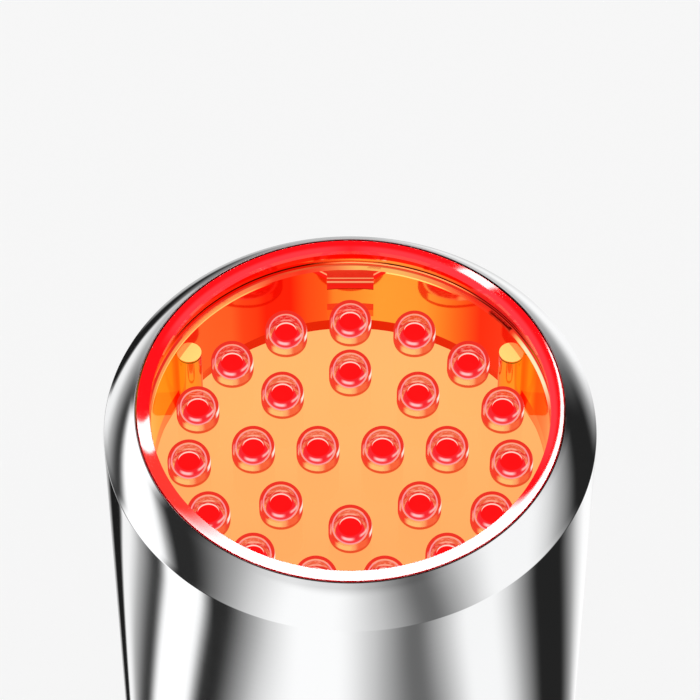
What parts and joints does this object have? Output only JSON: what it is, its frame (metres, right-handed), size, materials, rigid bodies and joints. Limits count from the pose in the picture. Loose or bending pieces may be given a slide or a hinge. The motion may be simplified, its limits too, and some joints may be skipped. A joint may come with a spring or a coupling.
{
  "type": "led skincare wand",
  "caption": "Handheld light-therapy wand: round chromed barrel with a bevelled head, red lens ring and window over LED lamps, push buttons on the side and a flat foot.",
  "frame": {"origin": "centre of the foot pad's flat face, on the axis of the barrel", "axes": "+Z along the barrel from the tail to the head; the buttons face -Y; +X is to the right of the buttons"},
  "size_m": [0.0454, 0.0469, 0.165],
  "materials": {
    "chrome_shell": "mirror-polished chrome plate",
    "ring_red": "polished red acrylic, lit from inside",
    "window_clear": "clear polished acrylic",
    "gasket_amber": "soft translucent silicone",
    "chamber_amber": "mirror-gloss orange, lit by the LEDs",
    "carrier_glow": "even orange glow",
    "lens_clear": "clear moulded lens",
    "emitter_red": "deep red, lit",
    "board_white": "white solder mask",
    "thermal_grey": "soft thermal pad",
    "sink_metal": "extruded and turned",
    "screw_steel": "zinc-plated steel",
    "panel_black": "piano-black gloss",
    "button_chrome": "chromed plastic, satin dish",
    "seal_black": "matt silicone",
    "switch_black": "matt moulding",
    "indicator_white": "frosted light pipe",
    "chassis_grey": "plain moulding",
    "board_green": "green solder mask",
    "cell_blue": "shrink sleeve over a rolled can",
    "nickel": "nickel strip",
    "foam_grey": "closed-cell foam",
    "wire_red": "insulated wire",
    "contact_gold": "gold-plated"
  },
  "bodies": {
    "wand": {"barrel": "chrome_shell", "lens_ring": "ring_red", "front_window": "window_clear", "window_gasket": "gasket_amber", "chamber_wall": "chamber_amber", "chamber_clips": "chamber_amber", "led_carrier": "carrier_glow", "led_lenses": "lens_clear", "led_emitters": "emitter_red", "led_board": "board_white", "thermal_pad": "thermal_grey", "heat_sink": "sink_metal", "chamber_screws": "screw_steel", "button_panel": "panel_black", "panel_gasket": "seal_black", "power_switch": "switch_black", "mode_switch": "switch_black", "indicator_lenses": "indicator_white", "chassis": "chassis_grey", "main_board": "board_green", "board_parts": "switch_black", "board_screws": "screw_steel", "battery_cell": "cell_blue", "battery_tabs": "nickel", "battery_pads": "foam_grey", "battery_straps": "seal_black", "led_leads": "wire_red", "battery_leads": "wire_red", "charge_leads": "wire_red", "tail_cap": "chrome_shell", "tail_seal": "seal_black", "tail_screws": "screw_steel", "charge_board": "board_green", "charge_contacts": "contact_gold", "foot_pad": "seal_black"},
    "power_button": {"power_button": "button_chrome", "power_plunger": "switch_black"},
    "mode_button": {"mode_button": "button_chrome", "mode_plunger": "switch_black"}
  },
  "joints": [
    {"name": "power_press", "type": "slide", "parent": "wand", "child": "power_button", "axis": [0, 1, 0], "range_m": [0, 0.0006], "stiffness_N_per_m": 2000, "springref_m": -0.0006},
    {"name": "mode_press", "type": "slide", "parent": "wand", "child": "mode_button", "axis": [0, 1, 0], "range_m": [0, 0.0006], "stiffness_N_per_m": 2000, "springref_m": -0.0006}
  ]
}
